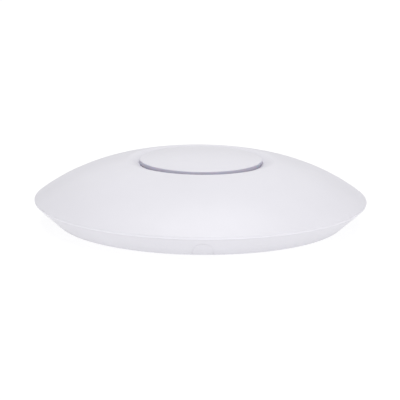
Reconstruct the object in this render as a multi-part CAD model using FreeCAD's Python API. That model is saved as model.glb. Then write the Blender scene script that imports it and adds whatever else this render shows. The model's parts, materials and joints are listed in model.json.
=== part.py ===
"""Ceiling Wi-Fi access point, 160 mm across, with its twist-on ceiling bracket.

Millimetres.  The back, which goes against the ceiling, is at Z = 0 and the dome
points along +Z.  The cable side, with the knock-out, is at -Y.
Every sub-part is written to parts/NODE.step.
"""
import FreeCAD
import Part
import math
import os

V = FreeCAD.Vector
UP = V(0, 0, 1)
ORIGIN = V(0, 0, 0)

# ---- driving dimensions ----------------------------------------------------
# outer shape
RIM_R = 80.0            # widest radius
RIM_Z = 10.65           # height of the widest circle
RIM_ROUND = 0.8         # radius of the rim's edge
LIP_ANGLE = -40.0       # the rim's rounding ends here, below the widest circle
BACK_Z = 0.2            # the case stands this far off the ceiling
BACK_R = 68.9           # corner between the flat back and the skirt
BACK_ROUND = 1.2
SKIRT_ANGLE = 42.2      # the skirt's slope above the horizontal
SEAM_Z = 9.9            # lower edge of the dome cover
SEAM_GAP = 0.08
SEAM_TONGUE_R0, SEAM_TONGUE_R1 = 74.6, 76.0     # the housing's tongue inside the cover
SEAM_TONGUE_RISE = 0.5  # how far it stands above the seam
DOME_SLOPE = 37.9       # the dome's slope at the rim
DOME_HANDLE = 25.5      # how long the dome keeps that slope
CREST_R, CREST_Z = 35.3, 29.95
SHOULDER_R = 34.0       # the crest stays level to about here
BROW_R, BROW_Z = 32.0, 29.05    # then it falls into the dish
DISH_R, DISH_Z = 29.95, 28.31   # the dish ends at the edge of the light ring's slot
SLOT_R, SLOT_ROUND = 29.75, 0.3
APEX_Z = 33.1

# walls
WALL = 2.2
FLOOR_WALL = 2.0

# back recess and its rectangular cable bay
RECESS_R = 53.0
RECESS_Z = 7.2          # the recess floor's face
FLOOR_TOP = RECESS_Z + FLOOR_WALL
BAY_HALF = 11.0
BAY_Y0, BAY_Y1 = -38.0, 2.0
BAY_TOP = 19.4
BAY_ROUND = 1.5
BAY_WALL, BAY_ROOF = 2.0, 1.6
BAY_OUT = BAY_HALF + BAY_WALL

# cable knock-out in the skirt: an arch
ARCH_HALF = 4.9
ARCH_TOP = 7.2
CHANNEL_WALL = 2.0
KNOCKOUT_WALL = 1.2
SCORE_WIDTH = 0.22
SCORE_FOOT, SCORE_HEAD = 0.42, 0.08     # its depth at the back and at the seam
KNOCKOUT_SINK = 0.22    # how far the knock-out's lower edge lies inside the skirt

# circuit board
BOARD_R = 56.0
BOARD_Z0, BOARD_Z1 = 13.4, 15.0
BOARD_BOSS_R, BOARD_PILOT_R = 3.0, 1.25
BOARD_SCREWS = [(38.0, 24.0), (-38.0, 24.0), (40.0, -30.0), (-40.0, -30.0)]

# Ethernet jack
JACK_HALF = 8.2
JACK_Y1 = 18.0
JACK_Z0, JACK_Z1 = 9.3, 20.7
SOCKET_HALF = 5.9
SOCKET_Z0, SOCKET_Z1 = 11.9, 18.7
SOCKET_DEPTH = 12.6
SHELL_WALL = 0.3

# bayonet between bracket and case
BRACKET_R = 50.5
BRACKET_T = 2.0
# x0, x1, y0, y1 and corner radius of each; the first is for the cable
BRACKET_WINDOWS = [(-14.0, 14.0, -39.5, 6.0, 6.0), (-36.0, -19.0, -8.0, 14.0, 4.0),
                   (19.0, 36.0, -8.0, 14.0, 4.0), (-13.0, 13.0, 14.0, 36.0, 4.0)]
LUGS = [90.0, 210.0, 330.0]
LUG_HALF = 8.0
LUG_R0, LUG_R1 = 46.5, 51.8
LEDGE_HALF = 9.0
LEDGE_Z0, LEDGE_Z1 = 2.6, 4.0
FLANGE_Z0, FLANGE_Z1 = 4.3, 5.8
BOLT_CIRCLE_R = 39.0
BOLT_HOLE_R = 2.2
BOLT_PAD_R, BOLT_PAD_RISE = 5.2, 0.6    # round pads under the bolt heads
RIB_R0, RIB_R1, RIB_RISE = 43.0, 44.2, 1.4      # stiffening rib on the bracket
LOCK_AT = 30.0          # where the lock tongue's tooth stands
CATCH_R = 50.7          # the housing's catch reaches in to here
ARROW_R = 44.5          # twist arrows sunk in the bracket's ceiling side
ARROW_DEPTH = 0.3
ARROWS_AT = [0.0, 180.0]

# centre: cap, light ring and LED board
OPENING_R = 25.5
LEDGE_TOP = 27.75
LEDGE_BOTTOM = 25.2
RING_R0, RING_R1 = 23.9, 29.3
CAP_SEAT_Z = 29.95      # the cap's underside rests here on the ring
CAP_R = 29.35
CAP_CURVE_R = 153.0     # the crown is part of a sphere
CAP_WALL = 1.2
CAP_EDGE_ROUND = 0.25
LED_BOARD_HOLE_R, LED_BOARD_R = 12.5, 28.0
LED_BOARD_T = 1.2
LED_R = 22.6
PILLAR_R = 17.0         # the cap's pillars stand on this circle
PILLAR_HALF, PILLAR_PILOT_R, PILLAR_PILOT_DEPTH = 2.4, 0.95, 4.2
PILLAR_ANGLES = [30.0, 150.0, 270.0]

# case screws
CASE_SCREW_R = 61.0
CASE_SCREWS = [45.0, 135.0, 225.0, 315.0]
BOSS_Z = 5.0            # where the cover's bosses stand on the housing's
COVER_BOSS_R, CASE_BOSS_R = 3.4, 4.5
CASE_SHANK_R = 1.5
CASE_SINK_R, CASE_SINK_Z = 3.2, 2.9

# reset button
RESET_X, RESET_Y = 27.5, 8.0
RESET_HOLE_R = 1.6
RESET_TRAVEL = 0.4
SWITCH_Z0, SWITCH_HALF = 10.5, 3.0
PLUNGER_R = 1.0
PLUNGER_Z = SWITCH_Z0 + 0.9     # the plunger's tip when the button is out


# ---- helpers ---------------------------------------------------------------
def polar(radius, angle, z=0.0):
    a = math.radians(angle)
    return V(radius * math.cos(a), radius * math.sin(a), z)


def box(x0, x1, y0, y1, z0, z1):
    return Part.makeBox(x1 - x0, y1 - y0, z1 - z0, V(x0, y0, z0))


def rounded_box(x0, x1, y0, y1, z0, z1, radius):
    """A box whose four upright edges are rounded."""
    solid = box(x0, x1, y0, y1, z0, z1)
    upright = [e for e in solid.Edges if abs(e.tangentAt(e.FirstParameter).z) > 0.9]
    return solid.makeFillet(radius, upright)


def disc(radius, z0, z1, x=0.0, y=0.0):
    return Part.makeCylinder(radius, z1 - z0, V(x, y, z0))


def tube(r0, r1, z0, z1):
    return disc(r1, z0, z1).cut(disc(r0, z0 - 1, z1 + 1))


def sector(r0, r1, z0, z1, angle0, angle1):
    """A piece of a ring between two angles in degrees."""
    wire = Part.Wire([
        Part.Arc(polar(r0, angle0, z0), polar(r0, (angle0 + angle1) / 2, z0),
                 polar(r0, angle1, z0)).toShape(),
        Part.makeLine(polar(r0, angle1, z0), polar(r1, angle1, z0)),
        Part.Arc(polar(r1, angle1, z0), polar(r1, (angle0 + angle1) / 2, z0),
                 polar(r1, angle0, z0)).toShape(),
        Part.makeLine(polar(r1, angle0, z0), polar(r0, angle0, z0)),
    ])
    return Part.Face(wire).extrude(V(0, 0, z1 - z0))


def line(a, b):
    """An edge of an outline in the (radius, height) half plane."""
    return Part.makeLine(V(a[0], 0, a[1]), V(b[0], 0, b[1]))


def lines(points):
    return [line(a, b) for a, b in zip(points, points[1:])]


def arc(a, mid, b):
    return Part.Arc(V(a[0], 0, a[1]), V(mid[0], 0, mid[1]), V(b[0], 0, b[1])).toShape()


def bezier(*poles):
    curve = Part.BezierCurve()
    curve.setPoles([V(r, 0, z) for r, z in poles])
    return curve.toShape()


def revolve(edges):
    return Part.Face(Part.Wire(edges)).revolve(ORIGIN, UP, 360)


def on_arc(centre, radius, angle):
    a = math.radians(angle)
    return (centre[0] + radius * math.cos(a), centre[1] + radius * math.sin(a))


def fuse(first, *rest):
    return first.multiFuse(list(rest)).removeSplitter() if rest else first


def around(shape, angle):
    copy = shape.copy()
    copy.rotate(ORIGIN, UP, angle)
    return copy


def group(shapes):
    return Part.makeCompound(shapes)


def screw(x, y, z_head, head_r, head_h, shank_r, length, up):
    """A screw whose head's bearing face is at z_head; up is +1 when the shank points up."""
    head_z = z_head - head_h if up > 0 else z_head
    head = disc(head_r, head_z, head_z + head_h, x, y)
    outer_z = head_z if up > 0 else head_z + head_h
    rim = [e for e in head.Edges if abs(e.BoundBox.ZMax - outer_z) < 1e-6
           and abs(e.BoundBox.ZMin - outer_z) < 1e-6]
    head = head.makeFillet(head_h * 0.35, rim)
    shank_z = z_head if up > 0 else z_head - length
    shank = disc(shank_r, shank_z, shank_z + length, x, y)
    depth = head_h * 0.55
    slot_z = outer_z if up > 0 else outer_z - depth
    arm = head_r * 0.55
    cross = fuse(box(x - arm, x + arm, y - 0.3, y + 0.3, slot_z, slot_z + depth),
                 box(x - 0.3, x + 0.3, y - arm, y + arm, slot_z, slot_z + depth))
    return fuse(head, shank).cut(cross)


# ---- outlines shared by the case's two shells ------------------------------
SLOPE = (math.cos(math.radians(DOME_SLOPE)), math.sin(math.radians(DOME_SLOPE)))
SKIRT = (math.cos(math.radians(SKIRT_ANGLE)), math.sin(math.radians(SKIRT_ANGLE)))
RIM_CENTRE = (RIM_R - RIM_ROUND, RIM_Z)
RIM_TOP = on_arc(RIM_CENTRE, RIM_ROUND, 90 - DOME_SLOPE)
RIM_LOW = on_arc(RIM_CENTRE, RIM_ROUND, LIP_ANGLE)


def skirt_r(z, inset=0.0):
    """Radius of the skirt's face at a height, or of the face that lies inset inside it."""
    return BACK_R - inset / SKIRT[1] + (z - BACK_Z) * SKIRT[0] / SKIRT[1]


def dome_curve(drop):
    """The dome from the rim to the crest, moved inwards by drop along its normal."""
    start = (RIM_TOP[0] - drop * SLOPE[1], RIM_TOP[1] - drop * SLOPE[0])
    handle = DOME_HANDLE - 0.35 * drop
    return [start,
            (start[0] - handle * SLOPE[0], start[1] + handle * SLOPE[1]),
            (CREST_R + 1.0 + drop * 0.5, CREST_Z - drop),
            (CREST_R + drop * 0.5, CREST_Z - drop)]


def dish_curve():
    """The shallow dish from the crest down to the light ring's slot."""
    return [(CREST_R, CREST_Z), (SHOULDER_R, CREST_Z), (BROW_R, BROW_Z), (DISH_R, DISH_Z)]


def back_corner():
    """The rounding between the flat back and the skirt: its start, middle and end."""
    reach = BACK_ROUND * math.tan(math.radians(SKIRT_ANGLE / 2))
    start = (BACK_R - reach, BACK_Z)
    end = (BACK_R + reach * SKIRT[0], BACK_Z + reach * SKIRT[1])
    middle = on_arc((start[0], BACK_Z + BACK_ROUND), BACK_ROUND, -90 + SKIRT_ANGLE / 2)
    return start, middle, end


def rim_arc():
    return arc(RIM_LOW, on_arc(RIM_CENTRE, RIM_ROUND, 0), RIM_TOP)


def under_dome(drop):
    """Everything below the face that lies drop under the dome's, as one solid for trimming."""
    curve = dome_curve(drop)
    edges = lines([(0, BACK_Z), (curve[0][0], BACK_Z), curve[0]]) + [bezier(*curve)]
    edges += lines([curve[3], (0, curve[3][1]), (0, BACK_Z)])
    return revolve(edges)


def filled_case():
    """Everything inside the outer faces of dome and skirt, as one solid for trimming."""
    start, middle, end = back_corner()
    edges = [line((0, BACK_Z), start), arc(start, middle, end)]
    edges += lines([end, (skirt_r(SEAM_Z), SEAM_Z), RIM_LOW])
    edges += [rim_arc(), bezier(*dome_curve(0.0))]
    edges += lines([(CREST_R, CREST_Z), (0, CREST_Z), (0, BACK_Z)])
    return revolve(edges)


# ---- case ------------------------------------------------------------------
def dome_cover():
    outer, inner = dome_curve(0.0), dome_curve(WALL)
    lip_run = (RIM_LOW[1] - SEAM_Z) / math.tan(math.radians(90 + LIP_ANGLE))
    lip = (RIM_LOW[0] - lip_run, SEAM_Z)
    inner_lip = (inner[0][0] - (SEAM_Z - inner[0][1]) * SLOPE[0] / SLOPE[1], SEAM_Z)
    inner = [inner_lip] + inner[1:]
    knee, knee_handle = (OPENING_R + 6.2, LEDGE_BOTTOM), 1.8
    edges = lines([inner_lip, lip, RIM_LOW])
    slot_top = (SLOT_R, DISH_Z - SLOT_ROUND)
    edges += [rim_arc(), bezier(*outer), bezier(*dish_curve()),
              bezier((DISH_R, DISH_Z), (SLOT_R, DISH_Z - SLOT_ROUND / 4), slot_top)]
    edges += lines([slot_top, (SLOT_R, LEDGE_TOP),
                    (OPENING_R, LEDGE_TOP), (OPENING_R, LEDGE_BOTTOM), knee])
    edges += [bezier(knee, (knee[0] + knee_handle, knee[1]),
                     (inner[3][0] - knee_handle, inner[3][1]), inner[3]),
              bezier(*reversed(inner))]
    shell = revolve(edges)
    room = under_dome(WALL / 2)
    fin_end, fin_half, pilot_top = CASE_SCREW_R + 9.0, 0.7, BOSS_Z + 11.0
    for angle in CASE_SCREWS:
        at = polar(CASE_SCREW_R, angle)
        boss = disc(COVER_BOSS_R, BOSS_Z, CREST_Z, at.x, at.y)
        fin = around(box(CASE_SCREW_R, fin_end, -fin_half, fin_half, SEAM_Z + 2, CREST_Z), angle)
        shell = shell.fuse([boss.common(room), fin.common(room)])
        shell = shell.cut(disc(CASE_SHANK_R, BOSS_Z, pilot_top, at.x, at.y))
    return shell.removeSplitter()


def housing_shell():
    start, middle, end = back_corner()
    top = SEAM_Z - SEAM_GAP
    tongue_top = SEAM_Z + SEAM_TONGUE_RISE
    tongue_foot = BACK_Z + (SEAM_TONGUE_R0 - skirt_r(BACK_Z, WALL)) * SKIRT[1] / SKIRT[0]
    hub_r = RECESS_R + FLOOR_WALL
    edges = [line((RECESS_R, BACK_Z), start), arc(start, middle, end)]
    edges += lines([
        end, (skirt_r(top), top), (SEAM_TONGUE_R1, top), (SEAM_TONGUE_R1, tongue_top),
        (SEAM_TONGUE_R0, tongue_top), (SEAM_TONGUE_R0, tongue_foot),
        (skirt_r(BACK_Z + WALL, WALL), BACK_Z + WALL), (hub_r, BACK_Z + WALL),
        (hub_r, FLOOR_TOP), (0, FLOOR_TOP), (0, RECESS_Z),
        (RECESS_R, RECESS_Z), (RECESS_R, BACK_Z)])
    return revolve(edges)


def arch_prism(inset, y0, y1):
    """The knock-out's arch, made smaller by inset, drawn out along Y."""
    half, top = ARCH_HALF - inset, ARCH_TOP + BACK_Z - inset
    spring, foot = top - half, BACK_Z - 1
    wire = Part.Wire([
        Part.makeLine(V(-half, y0, foot), V(half, y0, foot)),
        Part.makeLine(V(half, y0, foot), V(half, y0, spring)),
        Part.Arc(V(half, y0, spring), V(0, y0, top), V(-half, y0, spring)).toShape(),
        Part.makeLine(V(-half, y0, spring), V(-half, y0, foot)),
    ])
    return Part.Face(wire).extrude(V(0, y1 - y0, 0))


def skirt_layer(outer, inner):
    """The layer of the skirt between two depths, each given at the back and at the top."""
    top = SEAM_Z - 1.0
    corners = [(skirt_r(BACK_Z, outer[0]), BACK_Z), (skirt_r(top, outer[1]), top),
               (skirt_r(top, inner[1]), top), (skirt_r(BACK_Z, inner[0]), BACK_Z)]
    return revolve(lines(corners + corners[:1]))


def cable_knockout():
    """An arch of thin wall, scored round its edge, that leans in towards the back."""
    y0, y1 = -RIM_R, -RECESS_R
    score = (SCORE_FOOT, SCORE_HEAD)
    face = arch_prism(SCORE_WIDTH, y0, y1).common(skirt_layer((KNOCKOUT_SINK, 0.0), score))
    web = arch_prism(0.0, y0, y1).common(skirt_layer(score, (KNOCKOUT_WALL, KNOCKOUT_WALL)))
    return fuse(face, web).common(filled_case())


def rear_housing():
    shell = housing_shell()
    filled = filled_case()
    # cable bay: a well in the recess floor, open at its +Y end for the jack
    bay = rounded_box(-BAY_OUT, BAY_OUT, BAY_Y0 - BAY_WALL, BAY_Y1 + BAY_WALL,
                      RECESS_Z, BAY_TOP + BAY_ROOF, BAY_ROUND + BAY_WALL)
    # channel from the recess to the knock-out
    channel_half = ARCH_HALF + CHANNEL_WALL
    channel = box(-channel_half, channel_half, -RIM_R, -RECESS_R - 0.5,
                  BACK_Z, FLOOR_TOP + 0.5).common(filled)
    shell = shell.fuse([bay, channel])
    for x, y in BOARD_SCREWS:
        shell = shell.fuse(disc(BOARD_BOSS_R, FLOOR_TOP - 0.5, BOARD_Z0, x, y))
    for angle in CASE_SCREWS:
        at = polar(CASE_SCREW_R, angle)
        shell = shell.fuse(disc(CASE_BOSS_R, BACK_Z + 1, BOSS_Z, at.x, at.y))
    # bayonet ledges, each with a stop, and the lock tongue's catch
    wall_in, wall_out = BRACKET_R - 1.5, RECESS_R + 0.3
    for angle in LUGS:
        ledge = sector(wall_in, wall_out, LEDGE_Z0, LEDGE_Z1,
                       angle - LEDGE_HALF, angle + LEDGE_HALF + 1.0)
        stop_at = angle + LUG_HALF + 0.6
        stop = sector(wall_in, wall_out, LEDGE_Z0, RECESS_Z + 0.2, stop_at, stop_at + 2.0)
        shell = shell.fuse([ledge, stop])
    catch = sector(CATCH_R, wall_out, LEDGE_Z0, 6.0, LOCK_AT - 7.0, LOCK_AT - 2.8)
    shell = shell.fuse(catch)
    key_half, key_top = 1.2, BACK_Z + 1.1
    cuts = [
        rounded_box(-BAY_HALF, BAY_HALF, BAY_Y0, BAY_Y1, RECESS_Z - 1, BAY_TOP, BAY_ROUND),
        box(-JACK_HALF - 0.2, JACK_HALF + 0.2, BAY_Y1 - 0.1, BAY_Y1 + BAY_WALL + 1,
            JACK_Z0 - 0.1, BAY_TOP + BAY_ROOF + 1),
        arch_prism(0.0, -RIM_R, -RECESS_R + 1.0),
        disc(RESET_HOLE_R, RECESS_Z - 1, FLOOR_TOP + 1, RESET_X, RESET_Y),
        # groove where a release key slides in to the lock tongue
        around(box(RECESS_R - 1, BACK_R + 3, -key_half, key_half, BACK_Z - 1, key_top), LOCK_AT),
    ]
    for x, y in BOARD_SCREWS:
        cuts.append(disc(BOARD_PILOT_R, FLOOR_TOP + 0.6, BOARD_Z0 + 1, x, y))
    for angle in CASE_SCREWS:
        at = polar(CASE_SCREW_R, angle)
        cuts.append(disc(CASE_SINK_R, BACK_Z - 1, CASE_SINK_Z, at.x, at.y))
        cuts.append(disc(CASE_SHANK_R + 0.1, CASE_SINK_Z - 0.5, BOSS_Z + 1, at.x, at.y))
    for cut in cuts:
        shell = shell.cut(cut)
    return shell.removeSplitter()


def case_screws():
    made = []
    for angle in CASE_SCREWS:
        at = polar(CASE_SCREW_R, angle)
        made.append(screw(at.x, at.y, CASE_SINK_Z, CASE_SINK_R - 0.4, 1.9,
                          CASE_SHANK_R - 0.05, 11.0, up=1))
    return group(made)


# ---- bracket ---------------------------------------------------------------
def turn_arrow(middle):
    """A curved arrow, as a cutter, that shows which way the case twists on."""
    z0, z1 = -1.0, ARROW_DEPTH
    shaft_half, head_half, sweep = 0.5, 1.6, 9.0
    shaft = sector(ARROW_R - shaft_half, ARROW_R + shaft_half, z0, z1,
                   middle - sweep / 2, middle + sweep / 2)
    tip = middle + sweep / 2 + math.degrees(2.6 / ARROW_R)
    corners = [polar(ARROW_R - head_half, middle + sweep / 2, z0),
               polar(ARROW_R, tip, z0), polar(ARROW_R + head_half, middle + sweep / 2, z0)]
    head = Part.Face(Part.makePolygon(corners + corners[:1])).extrude(V(0, 0, z1 - z0))
    return fuse(shaft, head)


def mounting_bracket():
    plate = disc(BRACKET_R, 0, BRACKET_T)
    sunk = BRACKET_T - 0.5      # everything that stands up starts inside the plate
    rib_top, cable_half = BRACKET_T + RIB_RISE, 9.0
    rib = tube(RIB_R0, RIB_R1, sunk, rib_top)
    rib = rib.cut(box(-cable_half, cable_half, -BRACKET_R, 0, 0, rib_top + 1))
    pad_top = BRACKET_T + BOLT_PAD_RISE
    bolt_holes = [polar(BOLT_CIRCLE_R, 45 + 90 * quarter) for quarter in range(4)]
    pads = [disc(BOLT_PAD_R, sunk, pad_top, at.x, at.y) for at in bolt_holes]
    lugs, web = [], 1.7
    for angle in LUGS:
        ends = (angle - LUG_HALF, angle + LUG_HALF)
        lugs.append(sector(LUG_R0, LUG_R0 + web, sunk, FLANGE_Z1, *ends))
        lugs.append(sector(LUG_R0, LUG_R1, FLANGE_Z0, FLANGE_Z1, *ends))
    solid = fuse(plate, rib, *pads, *lugs)
    notch_half = 4.0
    solid = solid.cut(sector(BRACKET_R - 1.7, BRACKET_R + 1, -1, BRACKET_T + 1,
                             LOCK_AT - notch_half, LOCK_AT + notch_half))
    for x0, x1, y0, y1, corner in BRACKET_WINDOWS:
        solid = solid.cut(rounded_box(x0, x1, y0, y1, -1, FLANGE_Z1 + 1, corner))
    flare = 1.6
    for at in bolt_holes:
        solid = solid.cut(disc(BOLT_HOLE_R, -1, pad_top + 1, at.x, at.y))
        solid = solid.cut(Part.makeCone(BOLT_HOLE_R, BOLT_HOLE_R + flare, flare,
                                        V(at.x, at.y, pad_top - flare)))
    for middle in ARROWS_AT:
        solid = solid.cut(turn_arrow(middle))
    return solid.removeSplitter()


def lock_tongue():
    """A strip that springs inwards, with a tooth behind the housing's catch."""
    z0, z1 = BRACKET_T + 0.6, 5.4
    start, end, tooth_end = LOCK_AT - 2.0, LOCK_AT + 26.0, LOCK_AT + 1.5
    strip_r0, strip_r1, tooth_r = 48.4, 49.6, 52.0
    strip = sector(strip_r0, strip_r1, z0, z1, start, end - 3.0)
    root = sector(strip_r0 - 1.0, strip_r1 + 0.6, BRACKET_T, z1, end - 4.0, end)
    tooth = sector(strip_r1 - 0.1, tooth_r, z0, z1, start, tooth_end)
    push_pad = sector(tooth_r - 1.1, tooth_r, 0.5, z1, start, tooth_end)
    return fuse(strip, root, tooth, push_pad)


# ---- centre cap, light ring and LED board ----------------------------------
def crown(r, drop=0.0):
    """A point on the cap's outer face, or on the face that lies drop below it."""
    return (r, APEX_Z - drop - CAP_CURVE_R + math.sqrt(CAP_CURVE_R ** 2 - r ** 2))


def centre_cap():
    under_r = RING_R0 - 0.1
    shoulder = crown(CAP_R - CAP_EDGE_ROUND)
    hip = (CAP_R, shoulder[1] - CAP_EDGE_ROUND)
    bend = on_arc((CAP_R - CAP_EDGE_ROUND, hip[1]), CAP_EDGE_ROUND, 48)
    edges = [line((under_r, CAP_SEAT_Z), (CAP_R, CAP_SEAT_Z))]
    edges += [line((CAP_R, CAP_SEAT_Z), hip), arc(hip, bend, shoulder),
              arc(shoulder, crown(CAP_R / 2), crown(0)),
              line(crown(0), crown(0, CAP_WALL)),
              arc(crown(0, CAP_WALL), crown(under_r / 2, CAP_WALL), crown(under_r, CAP_WALL)),
              line(crown(under_r, CAP_WALL), (under_r, CAP_SEAT_Z))]
    cap = revolve(edges)
    pillar_top = crown(PILLAR_R)[1] - 0.75 * CAP_WALL
    for angle in PILLAR_ANGLES:
        at = polar(PILLAR_R, angle)
        cap = cap.fuse(disc(PILLAR_HALF, LEDGE_BOTTOM, pillar_top, at.x, at.y))
        cap = cap.cut(disc(PILLAR_PILOT_R, LEDGE_BOTTOM - 1, LEDGE_BOTTOM + PILLAR_PILOT_DEPTH,
                           at.x, at.y))
    return cap.removeSplitter()


def light_ring():
    """Light guide: a collar in the cover's opening and the wall that the cap sits on."""
    collar_r, collar_z = OPENING_R - 0.15, LEDGE_BOTTOM + 1.1
    corners = [(RING_R0, CAP_SEAT_Z), (RING_R0, collar_z), (collar_r, collar_z),
               (collar_r, LEDGE_TOP), (RING_R1, LEDGE_TOP), (RING_R1, CAP_SEAT_Z)]
    return revolve(lines(corners + corners[:1]))


def led_board():
    z0 = LEDGE_BOTTOM - LED_BOARD_T
    board = tube(LED_BOARD_HOLE_R, LED_BOARD_R, z0, LEDGE_BOTTOM)
    for angle in PILLAR_ANGLES:
        at = polar(PILLAR_R, angle)
        board = board.cut(disc(PILLAR_PILOT_R + 0.2, z0 - 1, LEDGE_BOTTOM + 1, at.x, at.y))
    return board


def status_leds():
    count, half_r, half_y, height = 8, 0.8, 1.5, 0.7
    one = box(LED_R - half_r, LED_R + half_r, -half_y, half_y,
              LEDGE_BOTTOM, LEDGE_BOTTOM + height)
    return group([around(one, (i + 0.5) * 360 / count) for i in range(count)])


def led_board_screws():
    made = []
    for angle in PILLAR_ANGLES:
        at = polar(PILLAR_R, angle)
        made.append(screw(at.x, at.y, LEDGE_BOTTOM - LED_BOARD_T, 1.9, 1.2, 0.9, 4.8, up=1))
    return group(made)


LED_PLUG_X, LED_PLUG_Y = -19.2, 8.5
LED_PLUG_HALF_X, LED_PLUG_HALF_Y, LED_PLUG_H = 1.8, 4.0, 1.6
FLEX_HALF, FLEX_T = 3.0, 0.25


def led_connectors():
    """The two flat-cable connectors: one under the LED board, one on the main board."""
    z0 = LEDGE_BOTTOM - LED_BOARD_T
    back, slot_y, slot_z = 0.8, FLEX_HALF + 0.2, 0.2
    made = []
    for low, high in ((z0 - LED_PLUG_H, z0), (BOARD_Z1, BOARD_Z1 + LED_PLUG_H)):
        body = box(LED_PLUG_X - LED_PLUG_HALF_X, LED_PLUG_X + LED_PLUG_HALF_X,
                   LED_PLUG_Y - LED_PLUG_HALF_Y, LED_PLUG_Y + LED_PLUG_HALF_Y, low, high)
        middle = (low + high) / 2
        slot = box(LED_PLUG_X - LED_PLUG_HALF_X - 1, LED_PLUG_X + LED_PLUG_HALF_X - back,
                   LED_PLUG_Y - slot_y, LED_PLUG_Y + slot_y, middle - slot_z, middle + slot_z)
        made.append(body.cut(slot))
    return group(made)


def led_flex():
    """Flat cable between the two connectors: a C seen from -Y."""
    low = BOARD_Z1 + LED_PLUG_H / 2
    high = LEDGE_BOTTOM - LED_BOARD_T - LED_PLUG_H / 2
    bend = (high - low) / 2
    x_in, x_bend = LED_PLUG_X + 0.8, LED_PLUG_X - 2.4       # where it ends and starts to bend
    middle = (low + high) / 2

    def side(offset):
        r = bend + offset
        return V(x_bend, 0, middle - r), V(x_bend - r, 0, middle), V(x_bend, 0, middle + r)

    o0, om, o1 = side(FLEX_T / 2)
    i0, im, i1 = side(-FLEX_T / 2)
    wire = Part.Wire([
        Part.makeLine(V(x_in, 0, o0.z), o0), Part.Arc(o0, om, o1).toShape(),
        Part.makeLine(o1, V(x_in, 0, o1.z)), Part.makeLine(V(x_in, 0, o1.z), V(x_in, 0, i1.z)),
        Part.makeLine(V(x_in, 0, i1.z), i1), Part.Arc(i1, im, i0).toShape(),
        Part.makeLine(i0, V(x_in, 0, i0.z)), Part.makeLine(V(x_in, 0, i0.z), V(x_in, 0, o0.z)),
    ])
    flex = Part.Face(wire).extrude(V(0, 2 * FLEX_HALF, 0))
    flex.translate(V(0, LED_PLUG_Y - FLEX_HALF, 0))
    return flex


# ---- main board ------------------------------------------------------------
def board_outline(radius, z0, z1, play):
    """Board-shaped plate: round, open around the cable bay and the jack."""
    plate = disc(radius, z0, z1)
    bay = BAY_OUT + play
    plate = plate.cut(box(-bay, bay, BAY_Y0 - BAY_WALL - play, BAY_Y1 + BAY_WALL + play,
                          z0 - 1, z1 + 1))
    jack = JACK_HALF + play
    return plate.cut(box(-jack, jack, BAY_Y1, JACK_Y1 + play, z0 - 1, z1 + 1))


def main_board():
    board = board_outline(BOARD_R, BOARD_Z0, BOARD_Z1, 0.4)
    for x, y in BOARD_SCREWS:
        board = board.cut(disc(BOARD_PILOT_R + 0.15, BOARD_Z0 - 1, BOARD_Z1 + 1, x, y))
    return board


def board_screws():
    return group([screw(x, y, BOARD_Z1, 2.4, 1.6, 1.2, 4.4, up=-1) for x, y in BOARD_SCREWS])


# chip footprints: (x0, x1, y0, y1)
PROCESSOR = (21.0, 34.0, -14.0, -1.0)
MEMORY = (36.5, 42.5, -13.0, -3.0)
RADIO_5G = (-36.0, -26.0, -14.0, -4.0)
RADIO_2G = (-5.0, 5.0, 29.0, 39.0)
COOLED = [PROCESSOR, RADIO_5G, RADIO_2G]        # these sit on the heat spreader's pedestals
SPREADER_T, THERMAL_PAD_T = 2.0, 0.8


def pad_under(chip, z0, z1, margin):
    x0, x1, y0, y1 = chip
    return box(x0 - margin, x1 + margin, y0 - margin, y1 + margin, z0, z1)


def heat_spreader():
    z0, z1 = FLOOR_TOP, FLOOR_TOP + SPREADER_T
    plate = board_outline(BOARD_R - 3.0, z0, z1, 0.8)
    pedestals = [pad_under(c, z1 - 0.5, BOARD_Z0 - THERMAL_PAD_T, 1.5) for c in COOLED]
    plate = fuse(plate, *pedestals)
    for x, y in BOARD_SCREWS:
        plate = plate.cut(disc(BOARD_BOSS_R + 0.4, z0 - 1, z1 + 2, x, y))
    gap = SWITCH_HALF + 1.2
    return plate.cut(box(RESET_X - gap, RESET_X + gap, RESET_Y - gap, RESET_Y + gap,
                         z0 - 1, z1 + 2))


def thermal_pads():
    return group([pad_under(c, BOARD_Z0 - THERMAL_PAD_T, BOARD_Z0, 0.5) for c in COOLED])


def chip(footprint, height):
    x0, x1, y0, y1 = footprint
    return box(x0, x1, y0, y1, BOARD_Z1, BOARD_Z1 + height)


def shield(x0, x1, y0, y1, holes):
    """A drawn sheet-metal can, open below, with rows of vent holes in its lid."""
    sheet, corner, brow, vent_r = 0.25, 1.0, 0.5, 0.8
    top = BOARD_Z1 + 3.0
    can = rounded_box(x0, x1, y0, y1, BOARD_Z1, top, corner)
    upper = [e for e in can.Edges if e.BoundBox.ZMin > top - 1e-6]
    can = can.makeFillet(brow, upper)
    can = can.cut(rounded_box(x0 + sheet, x1 - sheet, y0 + sheet, y1 - sheet,
                              BOARD_Z1 - 1, top - sheet, corner - sheet))
    pitch_x = (x1 - x0) / (holes[0] + 1)
    pitch_y = (y1 - y0) / (holes[1] + 1)
    vents = [disc(vent_r, top - 1, top + 1, x0 + pitch_x * (i + 1), y0 + pitch_y * (j + 1))
             for i in range(holes[0]) for j in range(holes[1])]
    return can.cut(group(vents))


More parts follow.
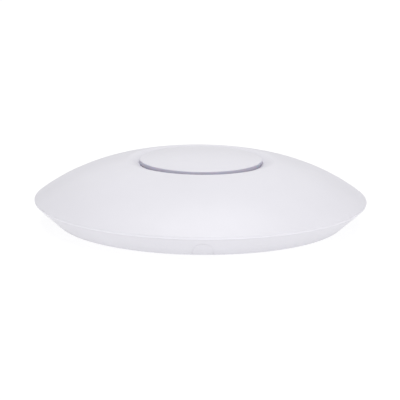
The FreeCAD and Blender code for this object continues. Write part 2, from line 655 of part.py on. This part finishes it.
def antenna(angle, half_length, top_z, side):
    """Stamped inverted-F antenna: a raised arm on a folded wall, with two solder feet."""
    t, r0, r1 = 0.4, 47.0, 52.5
    wall_end, wall_z = half_length * 0.2, BOARD_Z1 + 1.2
    foot_width, toe = 1.6, 1.2
    arm = box(r0, r1, -half_length, half_length, top_z - t, top_z)
    slot = box(r0 + 1.8, r0 + 3.0, -half_length + 3.0, half_length + 1, top_z - 1, top_z + 1)
    pieces = [box(r0, r0 + t, -half_length, wall_end, wall_z, top_z)]
    for y in (-half_length, -wall_end):
        pieces.append(box(r0, r0 + t, y, y + foot_width, BOARD_Z1, wall_z + 0.3))
        pieces.append(box(r0 - toe, r0 + t, y, y + foot_width, BOARD_Z1, BOARD_Z1 + t))
    right = around(fuse(arm.cut(slot), *pieces), angle)
    return right if side > 0 else right.mirror(ORIGIN, V(1, 0, 0))


# angle of the right-hand one, half its length, its top, and its side
ANTENNAS = {
    "antenna_5g_right": (14.0, 7.0, 21.2, 1),
    "antenna_5g_left": (14.0, 7.0, 21.2, -1),
    "antenna_2g_right": (308.0, 10.0, 20.8, 1),
    "antenna_2g_left": (308.0, 10.0, 20.8, -1),
}

COAX_D = 1.13
COAX_Z = BOARD_Z1 + 0.9
# the right-hand lead; the left-hand one is its mirror image
COAX_ROUTE = [(19.3, 36.4), (27.0, 34.6), (33.0, 28.5), (34.2, 19.5), (38.5, 12.0),
              (44.8, 5.5), (49.0, -2.5), (50.0, -12.0), (46.4, -21.0), (38.0, -24.6),
              (31.0, -28.4), (26.4, -35.2)]


def rounded_path(points, z):
    """Straight runs joined by tangent arcs as large as the runs allow."""
    pts = [V(x, y, z) for x, y in points]
    edges, at = [], pts[0]
    for before, corner, after in zip(pts, pts[1:], pts[2:]):
        u = (before - corner).normalize()
        w = (after - corner).normalize()
        turn = math.pi - math.acos(max(-1.0, min(1.0, u.dot(w))))
        reach = 0.45 * min((before - corner).Length, (after - corner).Length)
        start, end = corner + u * reach, corner + w * reach
        radius = reach / math.tan(turn / 2)
        bisector = (u + w).normalize()
        centre = corner + bisector * (reach / math.sin(turn / 2))
        middle = centre - bisector * radius
        edges.append(Part.LineSegment(at, start).toShape())
        edges.append(Part.Arc(start, middle, end).toShape())
        at = end
    edges.append(Part.LineSegment(at, pts[-1]).toShape())
    return Part.Wire(edges)


def coax(side):
    points = [(side * x, y) for x, y in COAX_ROUTE]
    start = V(points[0][0], points[0][1], COAX_Z)
    ahead = V(points[1][0] - points[0][0], points[1][1] - points[0][1], 0)
    section = Part.Wire(Part.makeCircle(COAX_D / 2, start, ahead))
    return rounded_path(points, COAX_Z).makePipeShell([section], True, False)


def coax_plugs():
    """The small snap-on plugs where the two leads meet the radio."""
    radius, height = 1.3, 1.9
    x, y = COAX_ROUTE[0][0] - radius - 0.15, COAX_ROUTE[0][1]
    return group([disc(radius, BOARD_Z1, BOARD_Z1 + height, side * x, y) for side in (1, -1)])


def ethernet_core():
    y0 = BAY_Y1 + 0.2
    core = box(-JACK_HALF + SHELL_WALL, JACK_HALF - SHELL_WALL, y0, JACK_Y1 - SHELL_WALL,
               JACK_Z0 + SHELL_WALL, JACK_Z1 - SHELL_WALL)
    y1 = y0 + SOCKET_DEPTH
    core = core.cut(box(-SOCKET_HALF, SOCKET_HALF, y0 - 1, y1, SOCKET_Z0, SOCKET_Z1))
    # the stepped slot for the plug's latch
    for half, depth in ((3.1, 1.4), (1.7, 2.0)):
        core = core.cut(box(-half, half, y0 - 1, y1, SOCKET_Z0 - depth, SOCKET_Z0 + 0.1))
    return core


def ethernet_shell():
    y0 = BAY_Y1
    shell = box(-JACK_HALF, JACK_HALF, y0, JACK_Y1, JACK_Z0, JACK_Z1)
    shell = shell.cut(box(-JACK_HALF + SHELL_WALL, JACK_HALF - SHELL_WALL, y0 - 1,
                          JACK_Y1 - SHELL_WALL, JACK_Z0 + SHELL_WALL, JACK_Z1 - SHELL_WALL))
    # solder tabs that lie on the board
    tab_reach, tab_length = 1.5, 3.0
    tabs = [box(x, x + tab_reach, y, y + tab_length, BOARD_Z1, BOARD_Z1 + SHELL_WALL)
            for x in (-JACK_HALF - tab_reach, JACK_HALF) for y in (6.0, 12.5)]
    return fuse(shell, *tabs)


def jack_contacts():
    """Eight spring wires that slope down into the socket from its back."""
    made = []
    pitch, half = 1.02, 0.18
    y_front, y_back = BAY_Y1 + 3.2, BAY_Y1 + 0.2 + SOCKET_DEPTH
    z_tip, z_root = SOCKET_Z1 - 1.7, SOCKET_Z1 - 0.25
    for i in range(8):
        x = (i - 3.5) * pitch
        wire = Part.Wire(Part.makePolygon([
            V(x - half, y_back, z_root), V(x - half, y_front + 1.4, z_tip),
            V(x - half, y_front, z_tip + 0.5), V(x - half, y_front + 0.2, z_tip + 0.75),
            V(x - half, y_front + 1.4, z_tip + 0.36), V(x - half, y_back, z_root + 0.2),
            V(x - half, y_back, z_root)]))
        made.append(Part.Face(wire).extrude(V(2 * half, 0, 0)))
    return group(made)


def magnetics():
    x0, x1, y0, y1 = 14.6, 21.4, 4.6, 18.6
    count, pitch, pin_width, pin_reach, pin_t = 8, 1.6, 0.6, 0.6, 0.5
    body = rounded_box(x0, x1, y0, y1, BOARD_Z1 + 0.3, BOARD_Z1 + 5.6, 0.5)
    rows = [(x0 - pin_reach, x0 + 0.3), (x1 - 0.3, x1 + pin_reach)]
    pins = [box(*row, y0 + 1.0 + pitch * i, y0 + 1.0 + pin_width + pitch * i,
                BOARD_Z1, BOARD_Z1 + pin_t) for row in rows for i in range(count)]
    return fuse(body, *pins)


def poe_transformer():
    x0, x1, y0, y1 = -31.0, -18.0, 15.5, 27.5
    z0, z1 = BOARD_Z1 + 0.6, BOARD_Z1 + 7.8
    leg, yoke, bulge, foot_in = 3.0, 1.4, 0.6, 1.5
    core = rounded_box(x0, x1, y0, y1, z0, z1, 0.8)
    window = (x0 + leg, x1 - leg, y0 - bulge, y1 + bulge, z0 + yoke, z1 - yoke)
    feet = box(x0 + foot_in, x1 - foot_in, y0 + 0.5, y1 - 0.5, BOARD_Z1, z0 + 0.1)
    return fuse(core.cut(box(*window)), rounded_box(*window, 0.6), feet)


CAPACITORS = [(-36.4, 4.8), (-29.4, 4.8), (25.6, 22.1)]
# x, y, half the width and height of each
INDUCTORS = [(24.5, 29.0, 3.2, 3.6), (-24.5, -26.0, 3.2, 3.0), (22.0, -25.0, 2.6, 2.4)]


def capacitors():
    radius, z0, z1 = 3.3, BOARD_Z1 + 0.8, BOARD_Z1 + 7.4
    made = []
    for x, y in CAPACITORS:
        can = disc(radius, z0, z1, x, y)
        top = [e for e in can.Edges if e.BoundBox.ZMin > z1 - 0.1]
        can = can.makeFillet(0.4, top)
        groove = Part.makeTorus(radius + 0.2, 0.35, V(x, y, z0 + 1.1))
        half = radius + 0.1
        base = box(x - half, x + half, y - half, y + half, BOARD_Z1, z0)
        made.append(fuse(can.cut(groove), base))
    return group(made)


def inductors():
    made = []
    for x, y, half, height in INDUCTORS:
        made.append(rounded_box(x - half, x + half, y - half, y + half, BOARD_Z1,
                                BOARD_Z1 + height, half * 0.3))
    return group(made)


# ---- reset button ----------------------------------------------------------
def reset_switch():
    half = SWITCH_HALF
    body = rounded_box(RESET_X - half, RESET_X + half, RESET_Y - half, RESET_Y + half,
                       SWITCH_Z0, BOARD_Z0, 0.4)
    well_top = PLUNGER_Z + RESET_TRAVEL + 0.3
    return body.cut(disc(PLUNGER_R + 0.1, SWITCH_Z0 - 1, well_top, RESET_X, RESET_Y))


def reset_button():
    flange_z, flange_t, flange_r = FLOOR_TOP + 0.1, 0.6, 2.5
    stem = disc(RESET_HOLE_R - 0.1, RECESS_Z + 0.3, flange_z + 0.1, RESET_X, RESET_Y)
    flange = disc(flange_r, flange_z, flange_z + flange_t, RESET_X, RESET_Y)
    plunger = disc(PLUNGER_R, flange_z + 0.5, PLUNGER_Z, RESET_X, RESET_Y)
    return fuse(stem, flange, plunger)


# ---- all sub-parts ---------------------------------------------------------
def build():
    parts = {
        "mounting_bracket": mounting_bracket(),
        "lock_tongue": lock_tongue(),
        "rear_housing": rear_housing(),
        "cable_knockout": cable_knockout(),
        "case_screws": case_screws(),
        "dome_cover": dome_cover(),
        "centre_cap": centre_cap(),
        "light_ring": light_ring(),
        "led_board": led_board(),
        "status_leds": status_leds(),
        "led_board_screws": led_board_screws(),
        "led_connectors": led_connectors(),
        "led_flex": led_flex(),
        "main_board": main_board(),
        "board_screws": board_screws(),
        "heat_spreader": heat_spreader(),
        "thermal_pads": thermal_pads(),
        "processor": chip(PROCESSOR, 1.4),
        "memory_chip": chip(MEMORY, 1.1),
        "radio_chip_5g": chip(RADIO_5G, 1.0),
        "radio_chip_2g": chip(RADIO_2G, 1.0),
        "shield_processor": shield(17.5, 45.0, -19.0, 1.5, holes=(7, 5)),
        "shield_5g": shield(-44.5, -17.5, -19.0, 0.0, holes=(7, 4)),
        "shield_2g": shield(-15.5, 15.5, 24.0, 44.0, holes=(7, 4)),
        "coax_lead_right": coax(1),
        "coax_lead_left": coax(-1),
        "coax_plugs": coax_plugs(),
        "ethernet_shell": ethernet_shell(),
        "ethernet_core": ethernet_core(),
        "ethernet_contacts": jack_contacts(),
        "ethernet_magnetics": magnetics(),
        "poe_transformer": poe_transformer(),
        "capacitors": capacitors(),
        "inductors": inductors(),
        "reset_switch": reset_switch(),
        "reset_button": reset_button(),
    }
    for name, place in ANTENNAS.items():
        parts[name] = antenna(*place)
    return parts


def main():
    os.makedirs("parts", exist_ok=True)
    for name, shape in build().items():
        shape.exportStep(os.path.join("parts", name + ".step"))
        print(name, len(shape.Solids), "solids", round(shape.Volume, 1), "mm3",
              "valid" if shape.isValid() else "NOT VALID")


main()
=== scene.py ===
"""Looks for the ceiling access point: camera, soft studio light and procedural materials."""
import json
import math

import bpy
from mathutils import Matrix, Vector


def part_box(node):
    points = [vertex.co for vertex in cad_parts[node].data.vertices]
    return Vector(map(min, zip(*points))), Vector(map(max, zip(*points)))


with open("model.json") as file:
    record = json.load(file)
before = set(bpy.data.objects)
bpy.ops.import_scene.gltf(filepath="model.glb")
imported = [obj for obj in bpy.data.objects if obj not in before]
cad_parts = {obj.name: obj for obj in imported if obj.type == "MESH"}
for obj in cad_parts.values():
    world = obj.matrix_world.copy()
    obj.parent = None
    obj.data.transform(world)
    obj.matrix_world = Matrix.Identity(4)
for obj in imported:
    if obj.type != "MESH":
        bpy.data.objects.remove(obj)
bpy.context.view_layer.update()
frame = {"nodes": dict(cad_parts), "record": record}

MM = 0.001
WHITE = (1, 1, 1, 1)

# ---- camera ----------------------------------------------------------------
AZIMUTH = -1.0          # the knock-out is a little right of the middle
ELEVATION = 12.52
DISTANCE = 1.0
LENS = 186.7            # on a 36 mm sensor
ROLL = 0.53             # the right-hand side hangs a little lower
PIVOT_HEIGHT = 17.7 * MM
AIM_DROP = 7.62 * MM    # the object sits above the middle of the frame
AIM_LEFT = 0.27 * MM
NEAREST, FARTHEST = 0.01, 50


def make_camera():
    a, e = math.radians(AZIMUTH), math.radians(ELEVATION)
    back = Vector((math.sin(a) * math.cos(e), -math.cos(a) * math.cos(e), math.sin(e)))
    right = Vector((math.cos(a), math.sin(a), 0))
    up = back.cross(right)
    pivot = Vector((0, 0, PIVOT_HEIGHT))
    place = pivot + back * DISTANCE
    aim = pivot - up * AIM_DROP - right * AIM_LEFT
    turn = (aim - place).to_track_quat("-Z", "Y").to_matrix().to_4x4()
    data = bpy.data.cameras.new("camera")
    data.lens = LENS
    data.clip_start, data.clip_end = NEAREST, FARTHEST
    camera = bpy.data.objects.new("camera", data)
    camera.matrix_world = (Matrix.Translation(place) @ turn
                           @ Matrix.Rotation(math.radians(ROLL), 4, "Z"))
    bpy.context.scene.collection.objects.link(camera)
    bpy.context.scene.camera = camera


# ---- floor and light -------------------------------------------------------
FLOOR_RADIUS, FLOOR_SIDES = 4.0, 96
FLOOR_GREY = 0.3
FLOOR_LOOK = {
    "Base Color": (FLOOR_GREY, FLOOR_GREY, FLOOR_GREY, 1),
    "Emission Color": WHITE,
    "Emission Strength": 0.78,      # the floor is a light table
    "Roughness": 0.9,
    "Specular IOR Level": 0.1,
}
WORLD_STRENGTH = 0.52
LIGHTS = (              # name, place and aim in metres, width and height, watts
    ("front_softbox", (0.0, -2.4, 0.35), (0, 0, 0.02), (1.6, 0.6), 12.8),
    ("top_softbox", (0.0, 0.1, 1.6), (0, 0, 0), (1.3, 1.3), 11.6),
    ("right_softbox", (2.0, -0.8, 0.9), (0, 0, 0), (1.2, 1.2), 2.6),
    ("back_softbox", (0.0, 2.0, 1.1), (0, 0, 0.02), (1.6, 0.8), 2.5),
)


def make_floor():
    mesh = bpy.data.meshes.new("floor")
    turns = [math.tau * i / FLOOR_SIDES for i in range(FLOOR_SIDES)]
    ring = [(FLOOR_RADIUS * math.cos(turn), FLOOR_RADIUS * math.sin(turn), 0) for turn in turns]
    mesh.from_pydata(ring, [], [range(FLOOR_SIDES)])
    floor = bpy.data.objects.new("floor", mesh)
    bpy.context.scene.collection.objects.link(floor)
    paper = bpy.data.materials.new("floor_paper")
    paper.use_nodes = True
    shader = paper.node_tree.nodes["Principled BSDF"]
    for socket, value in FLOOR_LOOK.items():
        shader.inputs[socket].default_value = value
    mesh.materials.append(paper)


def area_light(name, place, aim, size, power):
    data = bpy.data.lights.new(name, "AREA")
    data.shape = "RECTANGLE"
    data.size, data.size_y = size
    data.energy = power
    light = bpy.data.objects.new(name, data)
    light.location = place
    light.rotation_mode = "QUATERNION"
    light.rotation_quaternion = (Vector(aim) - Vector(place)).to_track_quat("-Z", "Y")
    bpy.context.scene.collection.objects.link(light)


def make_light():
    world = bpy.data.worlds.new("studio")
    world.use_nodes = True
    sky = world.node_tree.nodes["Background"]
    sky.inputs["Color"].default_value = WHITE
    sky.inputs["Strength"].default_value = WORLD_STRENGTH
    bpy.context.scene.world = world
    bpy.context.scene.view_settings.view_transform = "Standard"
    for light in LIGHTS:
        area_light(*light)


# ---- material helper -------------------------------------------------------
MIX_FACTOR, MIX_FIRST, MIX_SECOND, MIX_RESULT = 0, 6, 7, 2     # the colour mix's sockets
NOISE_LOW, NOISE_HIGH = 0.3, 0.7        # most of a noise lies between these


class Finish:
    """A Principled material whose patterns follow the part's own coordinates, in metres."""

    def __init__(self, name, colour, roughness, metallic=0.0, **sockets):
        self.material = bpy.data.materials.new(name)
        self.material.use_nodes = True
        self.tree = self.material.node_tree
        self.shader = self.tree.nodes["Principled BSDF"]
        self.shader.inputs["Base Color"].default_value = (*colour, 1)
        self.shader.inputs["Roughness"].default_value = roughness
        self.shader.inputs["Metallic"].default_value = metallic
        for socket, value in sockets.items():
            self.shader.inputs[socket.replace("_", " ")].default_value = value
        self.place = self.add("ShaderNodeTexCoord").outputs["Object"]

    def add(self, kind, links=None, **settings):
        """Adds a node. Each entry of links is a socket to join on, or a plain value."""
        node = self.tree.nodes.new(kind)
        for key, value in settings.items():
            setattr(node, key, value)
        for socket, value in (links or {}).items():
            if isinstance(value, bpy.types.NodeSocket):
                self.tree.links.new(value, node.inputs[socket])
            else:
                node.inputs[socket].default_value = value
        return node

    def noise(self, scale, octaves, rough, stretch=None):
        vector = self.place
        if stretch:
            vector = self.add("ShaderNodeMapping", {"Vector": vector, "Scale": stretch}).outputs[0]
        return self.add("ShaderNodeTexNoise", {"Vector": vector, "Scale": scale, "Detail": octaves,
                                               "Roughness": rough}).outputs["Fac"]

    def height(self):
        return self.add("ShaderNodeSeparateXYZ", {"Vector": self.place}).outputs["Z"]

    def spread(self, value, low, high, start=NOISE_LOW, end=NOISE_HIGH):
        """Maps start..end of a value onto low..high."""
        return self.add("ShaderNodeMapRange", {"Value": value, "From Min": start, "From Max": end,
                                               "To Min": low, "To Max": high}).outputs[0]

    def mix(self, factor, first, second):
        first, second = (colour if isinstance(colour, bpy.types.NodeSocket) else (*colour, 1)
                         for colour in (first, second))
        links = {MIX_FACTOR: factor, MIX_FIRST: first, MIX_SECOND: second}
        return self.add("ShaderNodeMix", links, data_type="RGBA").outputs[MIX_RESULT]

    def paint(self, socket, value):
        self.tree.links.new(value, self.shader.inputs[socket])

    def bump(self, height, distance):
        links = {"Height": height, "Distance": distance, "Strength": 1.0}
        self.paint("Normal", self.add("ShaderNodeBump", links).outputs[0])


def shade(colour, factor):
    return tuple(channel * factor for channel in colour)


# ---- materials -------------------------------------------------------------
# Each noise is its scale per metre, its octaves and its roughness.
FLOW_MARKS = (28, 3, 0.5)
HANDLING = (160, 4, 0.6)
GRAIN = (3500, 2, 0.6)
STREAKS = (900, 3, 0.6)
STAINS = (120, 4, 0.65)
MASK_SHEEN = (300, 3, 0.5)
CAST_SKIN = (700, 5, 0.65)
CAST_PATCHES = (60, 3, 0.5)
CLOUDS = (220, 3, 0.5)
GUIDE_SHEEN = (900, 2, 0.5)
GUIDE_GRAIN = (2500, 2, 0.5)

TRACE_CELLS, TRACE_LINES, TRACE_EDGE = 420, 9.0, (0.35, 0.5)
VIA_CELLS, VIA_EDGE, VIA_SHADE = 260, (0.06, 0.1), 1.9
CONDUCTORS, CONDUCTOR_EDGE = 160.0, (0.45, 0.55)

# painted shade on the skirt: the colour starts to darken at the top height and is fully darkened
# at the foot, standing for the shade near the floor
PAINTED_SHADE_TOP, PAINTED_SHADE_FOOT, PAINTED_SHADE_FACTOR = 4.2 * MM, 0.8 * MM, 0.95

SHEET_GRAIN = 0.002 * MM
TRACE_RELIEF = 0.02 * MM
CAST_RELIEF = 0.03 * MM
GUIDE_RELIEF = 0.003 * MM
CONDUCTOR_RELIEF = 0.03 * MM


def moulded(name, colour, roughness, grain=0.004, tone=0.015, painted_foot_shade=False):
    """Moulded plastic: a fine spark-eroded grain, very slight flow marks and tone, and optionally
    painted shade that darkens it towards its foot.
    """
    f = Finish(name, colour, roughness)
    drift = f.spread(f.noise(*FLOW_MARKS), 0.0, 1.0)
    surface = f.mix(drift, shade(colour, 1 - tone), shade(colour, 1 + tone))
    # painted shade: the colour darkens towards the foot, standing for the shade where the skirt
    # meets the floor
    if painted_foot_shade:
        foot_shade_mask = f.spread(f.height(), 0.0, 1.0, PAINTED_SHADE_TOP, PAINTED_SHADE_FOOT)
        surface = f.mix(foot_shade_mask, surface, shade(colour, PAINTED_SHADE_FACTOR))
    f.paint("Base Color", surface)
    f.paint("Roughness", f.spread(f.noise(*HANDLING), roughness - 0.04, roughness + 0.05))
    f.bump(f.noise(*GRAIN), grain * MM)
    return f.material


def sheet_metal(name, colour, roughness, stretch=(1, 14, 1)):
    """Plated or rolled sheet with drawn streaks, faint stains and tiny pits."""
    f = Finish(name, colour, roughness, metallic=1.0)
    streaks = f.noise(*STREAKS, stretch)
    stain = f.spread(f.noise(*STAINS), 0.0, 1.0)
    f.paint("Base Color", f.mix(stain, shade(colour, 0.9), shade(colour, 1.04)))
    f.paint("Roughness", f.spread(streaks, roughness - 0.08, roughness + 0.12))
    f.bump(streaks, SHEET_GRAIN)
    return f.material


def circuit_board(name, mask, trace):
    """Solder mask over laminate, with lighter copper traces and via dots under it."""
    f = Finish(name, mask, 0.35)
    split = f.add("ShaderNodeTexVoronoi", {"Vector": f.place, "Scale": TRACE_CELLS},
                  distance="MANHATTAN", feature="F2").outputs["Distance"]
    lines = f.add("ShaderNodeMath", {0: split, 1: TRACE_LINES}, operation="MULTIPLY").outputs[0]
    waves = f.add("ShaderNodeMath", {0: lines}, operation="SINE").outputs[0]
    tracks = f.spread(waves, 0.0, 1.0, *TRACE_EDGE)
    dots = f.add("ShaderNodeTexVoronoi", {"Vector": f.place,
                                          "Scale": VIA_CELLS}).outputs["Distance"]
    vias = f.spread(dots, 1.0, 0.0, *VIA_EDGE)
    under = f.mix(tracks, mask, trace)
    f.paint("Base Color", f.mix(vias, under, shade(trace, VIA_SHADE)))
    f.paint("Roughness", f.spread(f.noise(*MASK_SHEEN), 0.28, 0.42))
    f.bump(tracks, TRACE_RELIEF)
    return f.material


def cast_metal(name, colour):
    """Die-cast metal with a rough skin and slightly darker patches."""
    f = Finish(name, colour, 0.45, metallic=1.0)
    skin = f.noise(*CAST_SKIN)
    patches = f.spread(f.noise(*CAST_PATCHES), 0, 1)
    f.paint("Base Color", f.mix(patches, shade(colour, 0.88), colour))
    f.paint("Roughness", f.spread(skin, 0.36, 0.6))
    f.bump(skin, CAST_RELIEF)
    return f.material


def light_guide(name, bottom, top):
    """Milky translucent plastic with painted shade: darker towards its bottom, standing for the
    shade deep in the ring's recess.
    """
    f = Finish(name, top, 0.35, Subsurface_Weight=0.2, Subsurface_Scale=0.001)
    ring_low, ring_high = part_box("light_ring")
    painted_shade_rise = f.spread(f.height(), 0.0, 1.0, ring_low[2], ring_high[2])
    cloud = f.spread(f.noise(*CLOUDS), 0.0, 0.08)
    # painted shade: the colour goes from the dark bottom colour to the light top colour with
    # height, standing for the shade in the recess
    f.paint("Base Color", f.mix(cloud, f.mix(painted_shade_rise, bottom, top), shade(top, 1.1)))
    f.paint("Roughness", f.spread(f.noise(*GUIDE_SHEEN), 0.3, 0.42))
    f.bump(f.noise(*GUIDE_GRAIN), GUIDE_RELIEF)
    return f.material


def flat_cable(name, colour, ink):
    """White film with parallel conductors showing through."""
    f = Finish(name, colour, 0.4)
    wave = f.add("ShaderNodeTexWave", {"Vector": f.place, "Scale": CONDUCTORS},
                 bands_direction="Y").outputs["Fac"]
    f.paint("Base Color", f.mix(f.spread(wave, 0, 1, *CONDUCTOR_EDGE), colour, ink))
    f.bump(wave, CONDUCTOR_RELIEF)
    return f.material


# The kind of material and the look of each slot. A grain is its depth in mm.
SLOTS = {
    "white_shell": (moulded, {"colour": (0.806, 0.796, 0.849), "roughness": 0.42}),
    # painted shade: white_back is the shell's white made darker, standing for the shade on the
    # downward-facing skirt
    "white_back": (moulded, {"colour": (0.706, 0.698, 0.744), "roughness": 0.48,
                             "grain": 0.006, "painted_foot_shade": True}),
    # the diffuser's darker bottom colour is painted shade of the recess
    "diffuser": (light_guide, {"bottom": (0.35, 0.335, 0.42), "top": (0.565, 0.545, 0.635)}),
    "bracket": (moulded, {"colour": (0.66, 0.66, 0.69), "roughness": 0.52,
                          "grain": 0.01, "tone": 0.025}),
    "screw_steel": (sheet_metal, {"colour": (0.62, 0.62, 0.64), "roughness": 0.3}),
    "board": (circuit_board, {"mask": (0.012, 0.09, 0.045), "trace": (0.03, 0.17, 0.08)}),
    "led_board": (moulded, {"colour": (0.80, 0.80, 0.78), "roughness": 0.35, "grain": 0.002}),
    "led": (moulded, {"colour": (0.86, 0.84, 0.62), "roughness": 0.18, "grain": 0.001}),
    "spreader": (cast_metal, {"colour": (0.62, 0.63, 0.65)}),
    "thermal_pad": (moulded, {"colour": (0.30, 0.38, 0.50), "roughness": 0.8,
                              "grain": 0.02, "tone": 0.05}),
    "chip": (moulded, {"colour": (0.018, 0.018, 0.02), "roughness": 0.45,
                       "grain": 0.006, "tone": 0.1}),
    "shield_metal": (sheet_metal, {"colour": (0.66, 0.66, 0.66), "roughness": 0.34}),
    "antenna_metal": (sheet_metal, {"colour": (0.74, 0.66, 0.48), "roughness": 0.32}),
    "coax": (moulded, {"colour": (0.02, 0.02, 0.022), "roughness": 0.4}),
    "gold": (sheet_metal, {"colour": (0.88, 0.62, 0.22), "roughness": 0.22}),
    "jack_plastic": (moulded, {"colour": (0.02, 0.02, 0.022), "roughness": 0.5,
                               "grain": 0.008, "tone": 0.08}),
    "connector": (moulded, {"colour": (0.78, 0.74, 0.62), "roughness": 0.45}),
    "flex": (flat_cable, {"colour": (0.80, 0.81, 0.84), "ink": (0.50, 0.52, 0.58)}),
    "capacitor": (sheet_metal, {"colour": (0.66, 0.67, 0.70), "roughness": 0.25,
                                "stretch": (1, 1, 10)}),
    "ferrite": (moulded, {"colour": (0.045, 0.045, 0.05), "roughness": 0.6,
                          "grain": 0.03, "tone": 0.12}),
    "button": (moulded, {"colour": (0.03, 0.03, 0.033), "roughness": 0.45, "tone": 0.06}),
}


def finish_nodes():
    materials = {slot: make(slot, **look) for slot, (make, look) in SLOTS.items()}
    for sub in frame["record"]["subparts"]:
        node = frame["nodes"][sub["node"]]
        node.data.materials.clear()
        node.data.materials.append(materials[sub["material_slot"]])


make_camera()
make_floor()
make_light()
finish_nodes()
